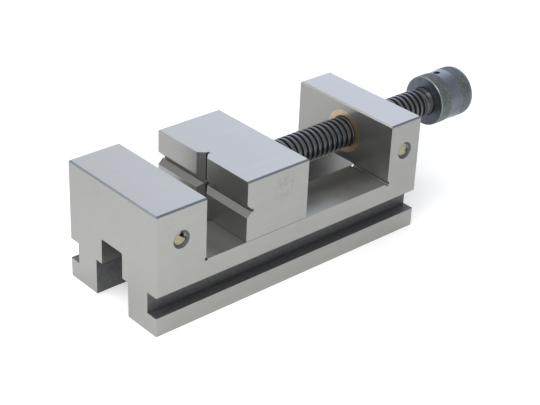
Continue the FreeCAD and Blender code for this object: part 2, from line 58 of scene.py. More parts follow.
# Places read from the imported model, in metres
AXIS_HEIGHT = next(joint["pos_m"][2] for joint in frame["joints"] if joint["name"] == "screw_turn")
AXIS = Vector((0.0, 0.0, AXIS_HEIGHT))
JAW_LOW, JAW_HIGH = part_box("moving_jaw")
BODY_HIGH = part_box("vise_body")[1]
SCREW_LOW, SCREW_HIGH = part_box("lead_screw")
KNOB_LOW, KNOB_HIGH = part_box("screw_knob")
MOUNTS = {mount["name"]: Vector(mount["pos_m"]) for mount in frame["record"]["mounts"]}
HOLE_PLACES = [MOUNTS[f"stop_hole_{block}_{side}"]
               for block in ("jaw", "rear") for side in ("near", "far")]

# Vertices nearer than this are one
SAME_PLACE = 1e-7

# Noise seldom leaves this span, given as the two inputs of a map range
NOISE_SPAN = {1: 0.3, 2: 0.7}
# Upward part of the normal of a leaning face, and how far it may be from that
LEAN, LEAN_SPAN = 0.68, 0.18
# Half the size of an edge that is painted lighter, as rubbed bare and with a painted highlight: along the screw,
# away from it, and without limit
RUBBED_EDGE_HIGHLIGHT = (0.0004, 0.0004, 1.0)

# Wedge cut out of the wax in the shape of the shadow in the hole, so that the dark hole shows
# there, in the holes of the jaw and of the rear block: its tip from the hole's middle, along the
# vise and up in metres, and the two directions that it opens between, in radians
SHADOW_WEDGES = (((-0.00095, 0.0022), (-0.63, 0.74)), ((0.0022, -0.0017), (-0.58, 1.41)))

# Two zones of the backdrop, darker in front to the right and brighter behind: the way to the
# middle of each, the cosine where it starts, and its brightness in the middle
BACKDROP_ZONES = (((0.588, -0.492, 0.642), 0.5, 0.75), ((0.78, 0.52, 0.35), 0.8, 2.4))
# The zone behind on the right that is cooler, in the same way
COOL_SIDE, COOL_START = (0.76, 0.55, 0.35), 0.85
# Lamps over the near left and the far left, as place, width in metres and power in watts
LAMPS = {"key_light": ((-0.9, -0.5, 1.3), 0.7, 6.0), "fill_light": ((-1.4, 1.2, 1.6), 1.0, 5.0)}

# Camera as fitted to the vise's corners in the photograph: metres, degrees, then millimetres
CAMERA_PLACE = (-0.64763, -0.67683, 0.55205)
AZIMUTH, ELEVATION, ROLL = -42.49, 29.51, 2.56
LENS, SENSOR_WIDTH = 94.18, 36.0


def linear(code):
    """Linear colour with full alpha from an sRGB hex code."""
    shares = [int(code[i:i + 2], 16) / 255 for i in (0, 2, 4)]
    return tuple(s / 12.92 if s <= 0.04045 else ((s + 0.055) / 1.055) ** 2.4
                 for s in shares) + (1.0,)


class ViseSizes(bpy.types.PropertyGroup):
    """Sizes of what the scene adds to the solid model."""
    thread_pitch: bpy.props.FloatProperty(
        name="Thread pitch", description="Advance of the lead screw in one turn",
        default=0.005, min=0.002, max=0.01, unit="LENGTH")
    thread_radius: bpy.props.FloatProperty(
        name="Thread radius", description="Lead screw over the crests of its thread",
        default=0.012, min=0.008, max=0.016, unit="LENGTH")
    thread_root: bpy.props.FloatProperty(
        name="Thread root", description="Radius at the bottom of the thread",
        default=0.00925, min=0.006, max=0.014, unit="LENGTH")
    shank_radius: bpy.props.FloatProperty(
        name="Shank radius", description="Plain lead screw between its thread and the knob",
        default=0.0113, min=0.006, max=0.014, unit="LENGTH")
    shank_length: bpy.props.FloatProperty(
        name="Shank length", description="End of the thread to the front of the knob",
        default=0.005, min=0.002, max=0.03, unit="LENGTH")
    knurl_pitch: bpy.props.FloatProperty(
        name="Knurl pitch", description="Distance between the points of the knurl",
        default=0.001, min=0.0005, max=0.003, unit="LENGTH")
    knurl_depth: bpy.props.FloatProperty(
        name="Knurl depth", description="Height of the knurl's points over its valleys",
        default=0.00016, min=0.0, max=0.0005, unit="LENGTH")
    wax_depth: bpy.props.FloatProperty(
        name="Wax depth", description="Side face to the preservative in the tapped holes",
        default=0.0021, min=0.001, max=0.012, unit="LENGTH")


class ViseColours(bpy.types.PropertyGroup):
    """Colours of the finishes and of the light."""
    ground_steel: bpy.props.FloatVectorProperty(
        name="Ground steel", description="Bare hardened steel as the wheel leaves it",
        default=linear("979793"), size=4, min=0.0, max=1.0, subtype="COLOR")
    # Darker than the ground steel: partly the narrow edges' own finish, partly painted shade on them
    chamfer_with_shade: bpy.props.FloatVectorProperty(
        name="Chamfers", description="Narrow edges, ground before hardening and darker",
        default=linear("767c82"), size=4, min=0.0, max=1.0, subtype="COLOR")
    scale: bpy.props.FloatVectorProperty(
        name="Hardening scale", description="Dark skin that is left where nothing was ground",
        default=linear("525354"), size=4, min=0.0, max=1.0, subtype="COLOR")
    black_oxide: bpy.props.FloatVectorProperty(
        name="Black oxide", description="Blackened steel of the lead screw, the pin and the screws",
        default=linear("5c6065"), size=4, min=0.0, max=1.0, subtype="COLOR")
    knob: bpy.props.FloatVectorProperty(
        name="Knob", description="Smooth blackened steel of the knob, bluer than the knurl",
        default=linear("666b75"), size=4, min=0.0, max=1.0, subtype="COLOR")
    knurl: bpy.props.FloatVectorProperty(
        name="Knurl", description="Knurled bands, duller and greener than the rest of the knob",
        default=linear("666b6c"), size=4, min=0.0, max=1.0, subtype="COLOR")
    bronze: bpy.props.FloatVectorProperty(
        name="Bronze", description="Turned bronze of the nut, slightly dulled",
        default=linear("d0b89c"), size=4, min=0.0, max=1.0, subtype="COLOR")
    # Lighter colour of the knob's front edges: bare steel where the black has rubbed off, and a painted highlight
    worn_and_highlight: bpy.props.FloatVectorProperty(
        name="Worn edges", description="Edges where the black has rubbed off",
        default=linear("7d8381"), size=4, min=0.0, max=1.0, subtype="COLOR")
    oil: bpy.props.FloatVectorProperty(
        name="Dried oil", description="Brown film of old oil in the thread and on the jaw",
        default=linear("5f5649"), size=4, min=0.0, max=1.0, subtype="COLOR")
    wax: bpy.props.FloatVectorProperty(
        name="Preservative", description="Hardened rust preservative in the tapped holes",
        default=linear("a29e78"), size=4, min=0.0, max=1.0, subtype="COLOR")
    floor: bpy.props.FloatVectorProperty(
        name="Floor", description="Matt white studio floor",
        default=linear("fcfcfb"), size=4, min=0.0, max=1.0, subtype="COLOR")


def add(tree, kind, inputs=None, **settings):
    """Shader node of a kind, with its settings, and its inputs as values or as sockets to link.

    An input goes by its name or its number. A map range reads from input 1 to 2 and gives from
    3 to 4, and a mix goes from 6 to 7 for colours and from 2 to 3 for numbers.
    """
    node = tree.nodes.new("ShaderNode" + kind)
    for name, value in settings.items():
        setattr(node, name, value)
    for key, value in (inputs or {}).items():
        if isinstance(value, bpy.types.NodeSocket):
            tree.links.new(value, node.inputs[key])
        else:
            node.inputs[key].default_value = value
    return node


def fresh(name):
    """Empty material, with its node tree and its texture coordinates."""
    material = bpy.data.materials.new(name)
    material.use_nodes = True
    material.node_tree.nodes.clear()
    return material, material.node_tree, add(material.node_tree, "TexCoord")


def finish_surface(tree, inputs):
    """Principled shader with its inputs, joined to the output."""
    shader = add(tree, "BsdfPrincipled", inputs)
    add(tree, "OutputMaterial", {"Surface": shader.outputs["BSDF"]})


def inside(tree, place, centre, half):
    """Socket that is 1 within a box about a centre, and 0 outside it."""
    offset = add(tree, "VectorMath", {0: place, 1: centre}, operation="SUBTRACT")
    size = add(tree, "VectorMath", {0: offset.outputs[0]}, operation="ABSOLUTE")
    shade_share = add(tree, "VectorMath", {0: size.outputs[0], 1: half}, operation="DIVIDE")
    part = add(tree, "SeparateXYZ", {0: shade_share.outputs[0]})
    wide = add(tree, "Math", {0: part.outputs[0], 1: part.outputs[1]}, operation="MAXIMUM")
    most = add(tree, "Math", {0: wide.outputs[0], 1: part.outputs[2]}, operation="MAXIMUM")
    return add(tree, "Math", {0: most.outputs[0], 1: 1.0}, operation="LESS_THAN").outputs[0]


def slanted(tree, coordinates):
    """Socket that is 1 where a face leans, and 0 where it is upright or nearly level."""
    turned = add(tree, "VectorMath", {0: coordinates.outputs["Normal"]}, operation="ABSOLUTE")
    part = add(tree, "SeparateXYZ", {0: turned.outputs[0]})
    return add(tree, "Math", {0: part.outputs[2], 1: LEAN, 2: LEAN_SPAN},
               operation="COMPARE").outputs[0]


def ground_steel(name, colours, unground=(), shade_share_place=None, shade_share=1.0, stain=None):
    """Hardened tool steel, surface ground: a soft mirror with faint lines along the vise.

    The wheel leaves lines about 0.1 mm apart, which are drawn 1.2 mm apart so that they show.
    A place is a box, as its centre and half its size. unground lists those that keep the dark
    skin of hardening, given once for both sides and both ends. Leaning faces take the colour of
    the chamfers, which is darker than the ground steel and paints shade on them; in the place
    given after unground they take the given share of the ground colour instead, which paints
    shade on them where that share is below one. stain is the middle and the radius of a faint
    oil stain.
    """
    material, tree, coordinates = fresh(name)
    place = coordinates.outputs["Object"]
    # Lines of the wheel, 1.2 mm apart and 60 mm long
    lines_per_metre = (16.0, 830.0, 830.0)
    stretched = add(tree, "VectorMath", {0: place, 1: lines_per_metre}, operation="MULTIPLY")
    lines = add(tree, "TexNoise", {"Vector": stretched.outputs[0], "Scale": 1.0, "Detail": 3.0})
    streak = add(tree, "MapRange", {0: lines.outputs["Fac"], **NOISE_SPAN, 3: 0.975, 4: 1.02})
    # Mottling of the steel, about 12 mm across
    mottle = add(tree, "TexNoise", {"Vector": place, "Scale": 80.0, "Detail": 4.0})
    tone = add(tree, "MapRange", {0: mottle.outputs["Fac"], **NOISE_SPAN, 3: 0.965, 4: 1.02})
    both = add(tree, "Math", {0: tone.outputs[0], 1: streak.outputs[0]}, operation="MULTIPLY")
    # Fine pits about 4 mm apart, half a millimetre wide
    pits = add(tree, "TexVoronoi", {"Vector": place, "Scale": 240.0})
    pitted = add(tree, "MapRange", {0: pits.outputs["Distance"], 1: 0.035, 2: 0.09, 3: 0.9, 4: 1.0})
    speck = add(tree, "Math", {0: both.outputs[0], 1: pitted.outputs[0]}, operation="MULTIPLY")
    face = add(tree, "VectorMath", {0: colours.ground_steel[:3], "Scale": speck.outputs[0]},
               operation="SCALE").outputs[0]
    # Leaning faces take the colour of the chamfers, darker than the ground steel: partly their own finish, partly
    # painted shade
    leaning = colours.chamfer_with_shade
    if shade_share_place:
        # In that place leaning faces take a share of the ground colour, which paints shade on them where the share
        # is below one
        dull = add(tree, "VectorMath", {0: face, "Scale": shade_share}, operation="SCALE").outputs[0]
        leaning = add(tree, "Mix", {0: inside(tree, place, *shade_share_place), 6: leaning, 7: dull},
                      data_type="RGBA").outputs[2]
    colour = add(tree, "Mix", {0: slanted(tree, coordinates), 6: face, 7: leaning},
                 data_type="RGBA").outputs[2]
    if stain:
        # Blotches of dried oil about 4 mm across, fainter away from the middle of the stain
        middle, reach = stain
        away = add(tree, "VectorMath", {0: place, 1: middle}, operation="DISTANCE")
        fade = add(tree, "MapRange", {0: away.outputs["Value"], 1: 0.3 * reach, 2: reach,
                                      3: 1.0, 4: 0.0})
        drops = add(tree, "TexNoise", {"Vector": place, "Scale": 240.0, "Detail": 1.0})
        drop = add(tree, "MapRange", {0: drops.outputs["Fac"], 1: 0.42, 2: 0.7, 3: 0.0, 4: 0.32})
        where = add(tree, "Math", {0: drop.outputs[0], 1: fade.outputs[0]}, operation="MULTIPLY")
        colour = add(tree, "Mix", {0: where.outputs[0], 6: colour, 7: colours.oil},
                     data_type="RGBA").outputs[2]
    gloss = add(tree, "MapRange", {0: mottle.outputs["Fac"], **NOISE_SPAN, 3: 0.3, 4: 0.36})
    rough, metal = gloss.outputs[0], 0.88
    if unground:
        mirrored = add(tree, "VectorMath", {0: place}, operation="ABSOLUTE").outputs[0]
        skin = 0.0
        for centre, half in unground:
            skin = add(tree, "Math", {0: skin, 1: inside(tree, mirrored, centre, half)},
                       operation="MAXIMUM").outputs[0]
        # Grain of the skin, about 2.5 mm across, duller and less metallic than the ground faces
        grain = add(tree, "TexNoise", {"Vector": place, "Scale": 400.0, "Detail": 5.0})
        shade = add(tree, "MapRange", {0: grain.outputs["Fac"], **NOISE_SPAN, 3: 0.75, 4: 1.2})
        dark = add(tree, "VectorMath", {0: colours.scale[:3], "Scale": shade.outputs[0]},
                   operation="SCALE")
        colour = add(tree, "Mix", {0: skin, 6: colour, 7: dark.outputs[0]},
                     data_type="RGBA").outputs[2]
        rough = add(tree, "Mix", {0: skin, 2: rough, 3: 0.5}, data_type="FLOAT").outputs[0]
        metal = add(tree, "Mix", {0: skin, 2: metal, 3: 0.3}, data_type="FLOAT").outputs[0]
    bump = add(tree, "Bump", {"Strength": 0.12, "Distance": 0.00002,
                              "Height": lines.outputs["Fac"]})
    finish_surface(tree, {"Base Color": colour, "Metallic": metal, "Roughness": rough,
                          "Normal": bump.outputs["Normal"]})
    return material


def about_axis(tree, place):
    """Socket with the place along the screw and the distance from its axis."""
    part = add(tree, "SeparateXYZ", {0: place})
    height = add(tree, "Math", {0: part.outputs[2], 1: AXIS_HEIGHT}, operation="SUBTRACT")
    across = add(tree, "CombineXYZ", {0: part.outputs[1], 1: height.outputs[0]})
    away = add(tree, "VectorMath", {0: across.outputs[0]}, operation="LENGTH")
    return add(tree, "CombineXYZ", {0: part.outputs[0], 1: away.outputs["Value"]}).outputs[0]


def black_oxide(name, colour, rough, grain_size, speckle=0.14, relief=0.1, worn_and_highlight=None, rings=(),
                oil=None):
    """Turned steel, chemically blackened: a thin blue-black skin with a dull oily shine.

    grain_size is in metres, speckle is how far the grain lightens and darkens the skin, and
    relief how strongly it stands out. rings lists edges that are painted lighter, as rubbed bare
    and as a painted highlight, as (place along the screw, radius), and oil is a brown film.
    """
    material, tree, coordinates = fresh(name)
    place = coordinates.outputs["Object"]
    # Clouds about 8 mm across, and the grain
    cloud = add(tree, "TexNoise", {"Vector": place, "Scale": 120.0, "Detail": 4.0})
    grain = add(tree, "TexNoise", {"Vector": place, "Scale": 1.0 / grain_size, "Detail": 3.0})
    soft = add(tree, "MapRange", {0: cloud.outputs["Fac"], **NOISE_SPAN, 3: 0.85, 4: 1.12})
    fine = add(tree, "MapRange", {0: grain.outputs["Fac"], **NOISE_SPAN,
                                  3: 1.0 - speckle, 4: 1.0 + speckle})
    tone = add(tree, "Math", {0: soft.outputs[0], 1: fine.outputs[0]}, operation="MULTIPLY")
    skin = add(tree, "VectorMath", {0: colour[:3], "Scale": tone.outputs[0]},
               operation="SCALE").outputs[0]
    if oil is not None:
        film = add(tree, "MapRange", {0: cloud.outputs["Fac"], 1: 0.45, 2: 0.7, 3: 0.0, 4: 0.45})
        skin = add(tree, "Mix", {0: film.outputs[0], 6: skin, 7: oil},
                   data_type="RGBA").outputs[2]
    # Rings painted the lighter colour, as rubbed bare and as a painted highlight on the edge
    for along, radius in rings:
        ring = inside(tree, about_axis(tree, place), (along, radius, 0.0), RUBBED_EDGE_HIGHLIGHT)
        bare = add(tree, "Math", {0: ring, 1: fine.outputs[0]}, operation="MULTIPLY",
                   use_clamp=True)
        skin = add(tree, "Mix", {0: bare.outputs[0], 6: skin, 7: worn_and_highlight},
                   data_type="RGBA").outputs[2]
    gloss = add(tree, "MapRange", {0: grain.outputs["Fac"], **NOISE_SPAN,
                                   3: rough - 0.05, 4: rough + 0.05})
    bump = add(tree, "Bump", {"Strength": relief, "Distance": 0.0001,
                              "Height": grain.outputs["Fac"]})
    finish_surface(tree, {"Base Color": skin, "Metallic": 0.85, "Roughness": gloss.outputs[0],
                          "Normal": bump.outputs["Normal"]})
    return material


def turned_bronze(name, colour):
    """Bronze faced in a lathe: rings about 0.15 mm apart, drawn 0.6 mm apart so that they show."""
    material, tree, coordinates = fresh(name)
    centred = add(tree, "VectorMath", {0: coordinates.outputs["Object"], 1: AXIS},
                  operation="SUBTRACT")
    rings = add(tree, "TexWave", {"Vector": centred.outputs[0], "Scale": 520.0, "Distortion": 0.6},
                wave_type="RINGS", rings_direction="X")
    # Dull patches about 5 mm across
    cloud = add(tree, "TexNoise", {"Vector": centred.outputs[0], "Scale": 180.0, "Detail": 4.0})
    ring = add(tree, "MapRange", {0: rings.outputs["Fac"], 3: 0.94, 4: 1.04})
    dull = add(tree, "MapRange", {0: cloud.outputs["Fac"], **NOISE_SPAN, 3: 0.86, 4: 1.06})
    tone = add(tree, "Math", {0: ring.outputs[0], 1: dull.outputs[0]}, operation="MULTIPLY")
    shade = add(tree, "VectorMath", {0: colour[:3], "Scale": tone.outputs[0]}, operation="SCALE")
    bump = add(tree, "Bump", {"Strength": 0.15, "Distance": 0.00003,
                              "Height": rings.outputs["Fac"]})
    finish_surface(tree, {"Base Color": shade.outputs[0], "Metallic": 1.0, "Roughness": 0.42,
                          "Normal": bump.outputs["Normal"]})
    return material


def hardened_preservative(name, colour):
    """Rust preservative that has set like wax: matt and yellowish, with lumps of about 1.4 mm."""
    material, tree, coordinates = fresh(name)
    lumps = add(tree, "TexNoise", {"Vector": coordinates.outputs["Object"], "Scale": 700.0,
                                   "Detail": 4.0})
    tone = add(tree, "MapRange", {0: lumps.outputs["Fac"], **NOISE_SPAN, 3: 0.72, 4: 1.1})
    shade = add(tree, "VectorMath", {0: colour[:3], "Scale": tone.outputs[0]}, operation="SCALE")
    bump = add(tree, "Bump", {"Strength": 0.5, "Distance": 0.0002, "Height": lumps.outputs["Fac"]})
    finish_surface(tree, {"Base Color": shade.outputs[0], "Roughness": 0.55, "IOR": 1.44,
                          "Normal": bump.outputs["Normal"]})
    return material


def glowing_table(name, colour):
    """Opal white sheet, matt, with a painted glow as though lit from below, brightest under the vise's near left:
    a painted pool of light, not a lamp.
    """
    material, tree, coordinates = fresh(name)
    # The painted glow fades from 20 to 50 cm away from its brightest place
    brightest = (-0.3, -0.25, 0.0)
    away = add(tree, "VectorMath", {0: coordinates.outputs["Object"], 1: brightest},
               operation="DISTANCE")
    glow = add(tree, "MapRange", {0: away.outputs["Value"], 1: 0.2, 2: 0.5, 3: 0.45, 4: 0.1})
    finish_surface(tree, {"Base Color": colour, "Roughness": 0.95, "Specular IOR Level": 0.0,
                          "Emission Color": (1.0, 1.0, 1.0, 1.0),
                          "Emission Strength": glow.outputs[0]})
    return material


def dress(node, material):
    """Give a carried-over CAD node its finish."""
    piece = frame["nodes"][node]
    piece.data.materials.clear()
    piece.data.materials.append(material)


def make_piece(name, mesh, body, material, crease):
    """Object from a bmesh, riding on a CAD body, and sharp at edges past crease, in degrees."""
    bmesh.ops.remove_doubles(mesh, verts=mesh.verts, dist=SAME_PLACE)
    bmesh.ops.recalc_face_normals(mesh, faces=mesh.faces)
    data = bpy.data.meshes.new(name)
    mesh.to_mesh(data)
    mesh.free()
    data.shade_smooth()
    data.set_sharp_from_angle(angle=radians(crease))
    data.materials.append(material)
    piece = bpy.data.objects.new(name, data)
    bpy.context.scene.collection.objects.link(piece)
    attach(piece, body)
    return piece


def everything(mesh):
    """All vertices, edges and faces of a bmesh."""
    return mesh.verts[:] + mesh.edges[:] + mesh.faces[:]


def only(kind, items):
    """Those of a bmesh operator's results that are of one kind."""
    return [item for item in items if isinstance(item, kind)]


def draw_profile(mesh, points, closed=False):
    """Line through points, as (x, radius) pairs above the screw's axis."""
    corners = [mesh.verts.new((x, 0.0, AXIS_HEIGHT + radius)) for x, radius in points]
    pairs = list(zip(corners, corners[1:])) + ([(corners[-1], corners[0])] if closed else [])
    return corners + [mesh.edges.new(pair) for pair in pairs]


def turn(mesh, points, steps, closed=False):
    """Shell turned about the screw's axis from a profile."""
    bmesh.ops.spin(mesh, geom=draw_profile(mesh, points, closed), cent=AXIS, axis=(1.0, 0.0, 0.0),
                   dvec=(0.0, 0.0, 0.0), angle=tau, steps=steps, use_merge=True)


class VISE_OT_ground_steel(bpy.types.Operator):
    """Give the body and the moving jaw their ground and unground faces"""
    bl_idname = "vise.ground_steel"
    bl_label = "Body and Moving Jaw"

    def execute(self, context):
        colours = context.scene.vise_colours
        # The grooves, the slot under its ledges and the countersinks kept the skin of hardening
        grooves = ((0.0, 0.045, 0.02285), (0.3, 0.0049, 0.0083))
        below_ledges = ((0.0, 0.0, 0.0138), (0.3, 0.0187, 0.01425))
        middle_depth, sink_half = 0.0013, (0.0075, 0.00125, 0.0075)
        sinks = [((abs(place.x), BODY_HIGH.y - middle_depth, place.z), sink_half)
                 for place in HOLE_PLACES[::2]]
        # The chamfer over the nut keeps the full ground colour, without the painted shade of the other chamfers
        over_nut = ((0.0456, 0.0, 0.0932), (0.0014, 0.0486, 0.0016))
        dress("vise_body", ground_steel("tool_steel_body", colours, [grooves, below_ledges, *sinks],
                                        over_nut))
        # The edge over the bed is dark with oil, and the level vee's leaning flank takes 0.42 of the ground
        # colour, which paints shade on it
        lower_edge = ((0.0657, 0.0, 0.0462), (0.029, 0.06, 0.0002))
        level_vee = ((JAW_LOW.x + 0.004, 0.0, AXIS_HEIGHT), (0.0046, 0.051, 0.0056))
        near_side = ((-0.06, JAW_LOW.y, 0.079), 0.013)
        dress("moving_jaw", ground_steel("tool_steel_jaw", colours, [lower_edge], level_vee,
                                         shade_share=0.42, stain=near_side))
        return {"FINISHED"}


class VISE_OT_lead_screw(bpy.types.Operator):
    """Cut the trapezoidal thread of the lead screw"""
    bl_idname = "vise.lead_screw"
    bl_label = "Lead Screw"

    def execute(self, context):
        sizes, colours = context.scene.vise_sizes, context.scene.vise_colours
        gap_to_jaw = 0.0005
        start, end = JAW_HIGH.x + gap_to_jaw, KNOB_LOW.x - sizes.shank_length
        mesh = bmesh.new()
        self.add_thread(mesh, sizes, start, end)
        self.add_nose(mesh, start)
        self.add_shank(mesh, sizes.shank_radius, end)
        material = black_oxide("blackened_thread_steel", colours.black_oxide, rough=0.3,
                               grain_size=0.0006, oil=colours.oil)
        screw = make_piece("screw_thread", mesh, "spindle", material,
                           crease=28.0)
        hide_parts("lead_screw")
        return {"FINISHED"}

    def add_thread(self, mesh, sizes, start, end):
        """Thread from start to end, cut square there and closed."""
        pitch, crest, root = sizes.thread_pitch, sizes.thread_radius, sizes.thread_root
        # One pitch of the thread: flanks lean about 15 degrees, and every corner is broken
        rise, top, fall, soft = 0.33 * pitch, 0.47 * pitch, 0.86 * pitch, 0.05 * pitch
        points = ((0.0, root), (rise - soft, root), (rise + soft, root + soft),
                  (top - soft, crest - soft), (top + soft, crest), (fall - soft, crest),
                  (fall + soft, crest - soft), (pitch - soft, root + soft), (pitch, root))
        steps = 56
        profile = draw_profile(mesh, [(start - 1.5 * pitch + x, radius) for x, radius in points])
        bmesh.ops.spin(mesh, geom=profile, cent=AXIS, axis=(1.0, 0.0, 0.0),
                       dvec=(pitch / steps, 0.0, 0.0), angle=tau, steps=steps)
        first_turn = everything(mesh)
        for turn_number in range(1, int((end - start) / pitch) + 3):
            copied = bmesh.ops.duplicate(mesh, geom=first_turn)["geom"]
            bmesh.ops.translate(mesh, verts=only(bmesh.types.BMVert, copied),
                                vec=(turn_number * pitch, 0.0, 0.0))
        bmesh.ops.remove_doubles(mesh, verts=mesh.verts, dist=pitch / 1000)
        # The thread runs out into the shank over most of its last turn
        run_out, shank = 0.8 * pitch, sizes.shank_radius
        for vert in mesh.verts:
            fade = min(max((vert.co.x - end) / run_out + 1.0, 0.0), 1.0)
            across = Vector((0.0, vert.co.y, vert.co.z - AXIS_HEIGHT))
            radius = across.length
            across *= (radius + (shank - radius) * fade) / radius
            vert.co = Vector((vert.co.x, across.y, AXIS_HEIGHT + across.z))
        for place, side in ((start, -1.0), (end, 1.0)):
            bmesh.ops.bisect_plane(mesh, geom=everything(mesh), dist=SAME_PLACE,
                                   plane_co=(place, 0.0, 0.0), plane_no=(side, 0.0, 0.0),
                                   clear_outer=True)
        open_edges = [edge for edge in mesh.edges if edge.is_boundary]
        bmesh.ops.holes_fill(mesh, edges=open_edges, sides=0)

    def add_nose(self, mesh, start):
        """Nose in the moving jaw, with the groove that the fork holds."""
        tip, radius, corner, neck, lap = SCREW_LOW.x, 0.007, 0.0012, 0.0045, 0.002
        groove_start, groove_end = tip + 0.0074, tip + 0.0126
        turn(mesh, ((tip, 0.0), (tip, radius - corner), (tip + corner, radius),
                    (groove_start, radius), (groove_start, neck), (groove_end, neck),
                    (groove_end, radius), (start + lap, radius), (start + lap, 0.0)), steps=48)

    def add_shank(self, mesh, radius, end):
        """Plain shank that goes on in the knob, with the fine grooves that the tool left on it."""
        lap, step_down, corner = 0.001, 0.0005, 0.0006
        spacing, groove_depth = 0.0009, 0.00015
        marks = [(end + (number + offset) * spacing, radius - depth) for number in range(1, 5)
                 for offset, depth in ((-0.2, 0.0), (0.0, groove_depth), (0.2, 0.0))]
        turn(mesh, ((end - lap, 0.0), (end - lap, radius - step_down), (end, radius), *marks,
                    (SCREW_HIGH.x - corner, radius), (SCREW_HIGH.x, radius - corner),
                    (SCREW_HIGH.x, 0.0)), steps=64)


class VISE_OT_knob(bpy.types.Operator):
    """Knurl the two gripping bands of the knob and blacken it"""
    bl_idname = "vise.knob"
    bl_label = "Knob and its Pin"

    def execute(self, context):
        sizes, colours = context.scene.vise_sizes, context.scene.vise_colours
        radius, inset = KNOB_HIGH.y, 0.0003
        front = KNOB_LOW.x + inset
        # Edges at the front of the knob, outside and round the bore, painted lighter: rubbed bare and with a
        # painted highlight
        rings = ((front, radius - inset), (front, sizes.shank_radius + inset))
        dress("screw_knob", black_oxide("blackened_turned_steel", colours.knob, rough=0.33,
                                        grain_size=0.0007, worn_and_highlight=colours.worn_and_highlight, rings=rings))
        dress("knob_pin", black_oxide("blackened_pin_steel", colours.black_oxide, rough=0.35,
                                      grain_size=0.0006))
        knurled = black_oxide("blackened_knurl_steel", colours.knurl, rough=0.55,
                              grain_size=0.0008, speckle=0.6, relief=0.5)
        bands = (("knob_front_knurl", KNOB_LOW.x + 0.0009, KNOB_LOW.x + 0.0112),
                 ("knob_rear_knurl", KNOB_LOW.x + 0.0238, KNOB_HIGH.x - 0.0043))
        for name, start, end in bands:
            mesh = self.make_band(sizes, radius, start, end)
            make_piece(name, mesh, "spindle", knurled, crease=60.0)
        return {"FINISHED"}

    def make_band(self, sizes, radius, start, end):
        """Ring of small points that stands in the knob's surface."""
        rows = int((end - start) / (sizes.knurl_pitch / 2))
        gap = (end - start) / rows
        around = 2 * int(tau * radius / sizes.knurl_pitch)
        outline = [(start + gap * row, radius) for row in range(rows + 1)]
        thickness = 0.0008
        mesh = bmesh.new()
        turn(mesh, outline + [(end, radius - thickness), (start, radius - thickness)], around,
             closed=True)
        bmesh.ops.remove_doubles(mesh, verts=mesh.verts, dist=SAME_PLACE)
        # Every other vertex of the outside stands up, which leaves rows of small points
        for vert in mesh.verts:
            across = Vector((0.0, vert.co.y, vert.co.z - AXIS_HEIGHT))
            row = round((vert.co.x - start) / gap)
            place = round(atan2(across.y, across.z) / (tau / around))
            if across.length > radius - thickness / 2 and 0 < row < rows:
                rise = 1.0 + sizes.knurl_depth / radius * ((row + place) % 2)
                vert.co = Vector((vert.co.x, across.y * rise, AXIS_HEIGHT + across.z * rise))
        return mesh


class VISE_OT_nut(bpy.types.Operator):
    """Give the bronze nut its turned face, and its grub screw a black one"""
    bl_idname = "vise.nut"
    bl_label = "Bronze Nut"

    def execute(self, context):
        colours = context.scene.vise_colours
        dress("screw_nut", turned_bronze("turned_bronze", colours.bronze))
        dress("nut_lock_screw", black_oxide("blackened_grub_steel", colours.black_oxide,
                                            rough=0.4, grain_size=0.0005))
        return {"FINISHED"}


class VISE_OT_slide_fittings(bpy.types.Operator):
    """Give the hidden pieces that hold and pull the moving jaw their finishes"""
    bl_idname = "vise.slide_fittings"
    bl_label = "Guide Plate, Fork, Pad and Screws"

    def execute(self, context):
        colours = context.scene.vise_colours
        plate = ground_steel("flat_ground_plate_steel", colours)
        for node in ("guide_plate", "nose_fork", "thrust_pad"):
            dress(node, plate)
        fastener = black_oxide("blackened_fastener_steel", colours.black_oxide, rough=0.38,
                               grain_size=0.0005)
        for node in ("plate_screw_1", "plate_screw_2"):
            dress(node, fastener)
        return {"FINISHED"}


